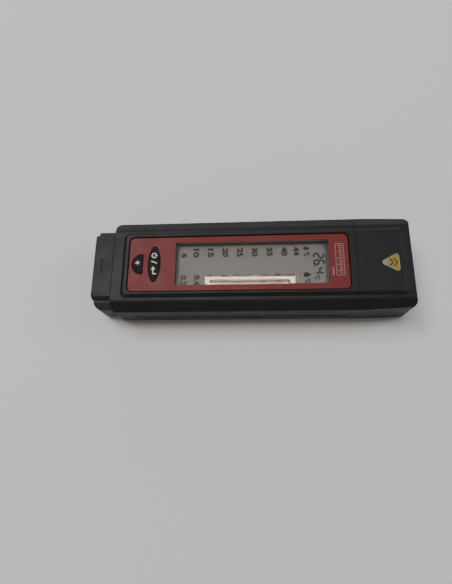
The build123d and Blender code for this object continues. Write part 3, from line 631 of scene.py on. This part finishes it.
def make_border():
    """Dark surround that fills the window up to the light field."""
    half_u, half_v = WINDOW_HIGH.y - 0.02, (WINDOW_HIGH.x - WINDOW_LOW.x) / 2 - 0.02
    side, foot, head = 0.55, 0.75, 1.15
    border = Artwork()
    border.area(rounded_box((-half_u, -half_v), (half_u, half_v), 0.3),
                rounded_box((side - half_u, foot - half_v), (half_u - side, half_v - head), 1.5))
    display_piece(border, "lcd_border", DISPLAY_BORDER, 0.01)


def make_scales():
    """Wood scale on the left and building material scale on the right, both in percent."""
    scales = Artwork()
    for percent in (6, 10, 15, 20, 25, 30, 35, 40, 44):
        width = FIGURE_WIDTH * len(str(percent))
        scales.glyphs(str(percent), (WOOD_EDGE - width / 2, WOOD_START + WOOD_STEP * (percent - 6)),
                      (width, FIGURE_HEIGHT))
    for index, percent in enumerate(("0.2", "0.4", "0.6", "0.9", "1.2", "1.4", "1.6", "1.8", "2.0")):
        scales.glyphs(percent, (DAMP_MIDDLE, DAMP_START + DAMP_STEP * index), (4.6, FIGURE_HEIGHT))
    display_piece(scales, "lcd_scale_figures", SCALE_INK)


def make_units():
    units = Artwork()
    for u in (-4.4, 7.3):
        units.glyphs("%", (u, UNIT_LINE), (1.9, 2.5))
    units.glyphs("°C", (5.85, BASE_LINE + 1.0), (2.4, 2.3))
    display_piece(units, "lcd_units", PALE_DISPLAY_INK)


def make_icons():
    """Fir tree for the wood scale and drop for the other."""
    icons = Artwork()
    tree, drop = -6.95, 4.7
    for level, half in ((-0.6, 1.1), (0.1, 0.95), (0.75, 0.7)):
        tier = UNIT_LINE + level
        icons.area([(tree - half, tier - 0.35), (tree + half, tier - 0.35), (tree, tier + 0.65)])
    icons.line([(tree, UNIT_LINE - 0.95), (tree, UNIT_LINE - 1.35)], 0.45)
    icons.area(arc((drop, UNIT_LINE - 0.5), 1.12, -210, 30, 16) + [(drop, UNIT_LINE + 1.7)])
    display_piece(icons, "lcd_icons", DISPLAY_INK)


def make_reading():
    """The large figures 26.4, the last one smaller."""
    reading = Artwork()
    whole, tenths = (1.8, 3.9), (2.05, 3.2)
    figure(reading, "2", (-4.5, BASE_LINE), whole)
    figure(reading, "6", (-1.55, BASE_LINE), whole)
    reading.area(rounded_box((0.65, BASE_LINE - 0.3), (1.4, BASE_LINE + 0.35), 0.2))
    figure(reading, "4", (1.95, BASE_LINE + 0.5), tenths)
    display_piece(reading, "lcd_reading", DISPLAY_INK)


def make_display():
    make_border()
    make_scales()
    make_units()
    make_icons()
    make_reading()


# ---------- prints and labels ----------
def make_panel_print():
    """Plain outlined rule with long and short divisions, and a short bar beside it."""
    art = Artwork()
    left, right, bottom, top, line = -7.6, 6.3, 35.1, 38.6, 0.3
    art.area(rounded_box((left, bottom), (right, top), 0.3, 3),
             rounded_box((left + line, bottom + line), (right - line, top - line), 0.15, 3))
    lengths, width, pitch, head = (2.0, 1.3, 1.3), 0.42, 0.9, top - 0.75
    for index in range(14):
        start, length = left + 0.85 + pitch * index, lengths[index % 3]
        art.area(rounded_box((start, head - length), (start + width, head), 0.12, 3))
    art.area(rounded_box((right - 3.5, 33.7), (right, 34.25), 0.25, 3))
    art.finish("panel_print", PANEL_INK, "housing", "panel", (0, 0, PANEL_TOP))


def make_cap_sticker():
    """Yellow face inside the sticker's border, and two chevrons that point the way the cap comes off."""
    low, high = box_mm("cap_label")
    place = (0, (low.y + high.y) / 2, high.z)
    half, back, tip, corner = 3.75, high.x - 0.35, low.x + 1.7, 0.5
    face = Artwork()
    face.area(arc((half - corner, back - corner), corner, -30, 90, 5)
              + arc((corner - half, back - corner), corner, 90, 210, 5)
              + arc((0, tip + corner), corner, 210, 330, 5))
    face.finish("cap_sticker_face", YELLOW_INK, "cap", "cap_label", place, 0.01)
    marks = Artwork()
    reach, rise = 1.6, 1.4
    for foot in (tip + 1.1, tip + 2.8):
        marks.line([(-reach, foot), (0, foot + rise), (reach, foot)], 0.5)
    marks.finish("cap_sticker_marks", BROWN_INK, "cap", "cap_label", place, 0.015)


def make_rear_print():
    """Ruled table and a ring with a minus sign on the label under the meter."""
    low, high = box_mm("rear_label")
    left, right, bottom, top = low.y + 1.2, high.y - 1.2, low.x + 1.5, high.x - 1.5
    line, rows = 0.25, 8
    art = Artwork()
    art.area(rounded_box((left, bottom), (right, top), 0.8),
             rounded_box((left + line, bottom + line), (right - line, top - line), 0.6))
    for row in range(1, rows):
        v = bottom + (top - bottom) * row / rows
        art.line([(left + 1, v), (right - 1, v)], 0.18)
    ring, radius, minus = (left + 3.5, top - 3), 1.7, 0.9
    art.area(arc(ring, radius, 0, 345, 23), arc(ring, radius - line, 0, 345, 23))
    art.line([(ring[0] - minus, ring[1]), (ring[0] + minus, ring[1])], 0.4)
    art.finish("rear_label_print", GREY_INK, "housing", "rear_label", (0, 0, low.z), 0.01)


def make_cell_marks():
    """Plus sign on the top coin cell, beside its middle."""
    top = box_mm("upper_coin_cell")[1].z
    arm, half, middle_y = 2.2, 0.35, 4
    quarter = [(half, half), (half, arm), (-half, arm)]
    turns = [Matrix.Rotation(math.radians(90 * turn), 2) for turn in range(4)]
    art = Artwork()
    art.area([tuple(turn @ Vector(point)) for turn in turns for point in quarter])
    art.finish("coin_cell_plus", GREY_INK, "drawer", "cell_steel",
               (middle_x("upper_coin_cell"), middle_y, top), 0.01)


# ---------- camera, lights and floor ----------
CAMERA_PLACE = (0.0041, -0.0649, 0.1890)
CAMERA_LOOK = (-0.0757, 0.2938, -0.9529)
CAMERA_UP = (0.0135, 0.9558, 0.2937)
LENS_MM, SENSOR_MM = 27.1, 36.0
CLIP_START, CLIP_END = 0.01, 20


def place_facing(data, place, heading, up):
    """Put a camera or light at a place, looking along heading with up upwards in its view."""
    holder = bpy.data.objects.new(data.name, data)
    bpy.context.scene.collection.objects.link(holder)
    back = -Vector(heading).normalized()
    side = Vector(up).cross(back).normalized()
    turn = Matrix((side, back.cross(side), back)).transposed().to_4x4()
    holder.matrix_world = Matrix.Translation(place) @ turn
    return holder


def make_camera():
    data = bpy.data.cameras.new("camera")
    data.lens, data.sensor_width = LENS_MM, SENSOR_MM
    data.clip_start, data.clip_end = CLIP_START, CLIP_END
    bpy.context.scene.camera = place_facing(data, CAMERA_PLACE, CAMERA_LOOK, CAMERA_UP)


def area_light(name, place, aim, size, power, color):
    """Rectangular light; its first side is square to Y: level behind the meter, upright beside it."""
    data = bpy.data.lights.new(name, "AREA")
    data.shape = "RECTANGLE"
    data.size, data.size_y = size
    data.energy, data.color = power, color
    place_facing(data, place, Vector(aim) - Vector(place), (0, 1, 0))


# name, place, size, power and colour of each soft light; all face the meter
SOFT_LIGHTS = (
    ("overhead_light", (-0.2, 0.2, 1.5), (1.0, 0.34), 8.6, (0.98, 0.99, 1.0)),
    ("left_light", (-0.75, 0.65, 1.4), (0.6, 0.6), 9, (0.98, 0.99, 1.0)),
    ("right_light", (1.7, 0.5, 1.1), (0.9, 0.6), 6, (0.98, 0.99, 1.0)),
    ("back_light", (0.0, 2.0, 0.45), (2.4, 0.5), 9, (0.98, 0.99, 1.0)),
    ("front_left_light", (-1.5, -1.4, 0.2), (0.3, 1.4), 5, (1.0, 0.93, 0.87)),
    ("front_right_light", (1.5, -1.4, 0.2), (0.3, 1.4), 5, (1.0, 0.93, 0.87)),
)
WORLD_COLOR, WORLD_STRENGTH = (1.0, 0.9, 0.82), 0.16


def make_lights():
    for name, place, size, power, color in SOFT_LIGHTS:
        area_light(name, place, (0, 0, 0), size, power, color)
    world = bpy.data.worlds.new("world")
    world.use_nodes = True
    background = world.node_tree.nodes["Background"]
    background.inputs["Color"].default_value = (*WORLD_COLOR, 1)
    background.inputs["Strength"].default_value = WORLD_STRENGTH
    bpy.context.scene.world = world


TUBE_MIRROR_POINT = (0.25, -7.65)        # where the fitting shows in the window, mm
TUBE_DISTANCE, TUBE_COLOR = 1.5, (1.0, 0.72, 0.46)
# middle across and up, width, height and radiance of each strip of the fitting
TUBE_STRIPS = (
    (0.0, 0.0085, 0.342, 0.009, 30),
    (0.0, -0.0135, 0.342, 0.0045, 20),
    (-0.162, -0.0035, 0.018, 0.0155, 32),
    (0.162, -0.0035, 0.018, 0.0155, 32),
    (0.0, -0.0035, 0.306, 0.015, 1.2),
)


def make_tube_light():
    """Long ceiling fitting placed so that the window mirrors it towards the camera."""
    mirror = Vector((*TUBE_MIRROR_POINT, WINDOW_HIGH.z)) * MM
    ray = (mirror - Vector(CAMERA_PLACE)).normalized()
    ray.z = -ray.z
    across = Vector((1, 0, 0))
    for number, (aside, rise, width, height, radiance) in enumerate(TUBE_STRIPS):
        place = mirror + ray * TUBE_DISTANCE + across * aside + ray.cross(across) * rise
        area_light(f"tube_strip_{number}", place, place - ray, (width, height),
                   radiance * math.pi * width * height, TUBE_COLOR)


FLOOR_SIZE = 6


def make_floor():
    bpy.ops.mesh.primitive_plane_add(size=FLOOR_SIZE)
    floor = bpy.context.object
    floor.name = "floor"
    paper = Surface("floor_paper", (0.86, 0.86, 0.86), 0.8)
    paper.tint(paper.span(paper.noise(0.4), 0.3, 0.7, 0.0, 0.3), (0.9, 0.895, 0.885))
    paper.bump(paper.noise(0.0008), 0.00003)
    floor.data.materials.append(paper.material)


make_camera()
make_lights()
make_tube_light()
make_floor()
dress_cad_nodes()
make_buttons()
make_display()
make_panel_print()
make_cap_sticker()
make_rear_print()
make_cell_marks()
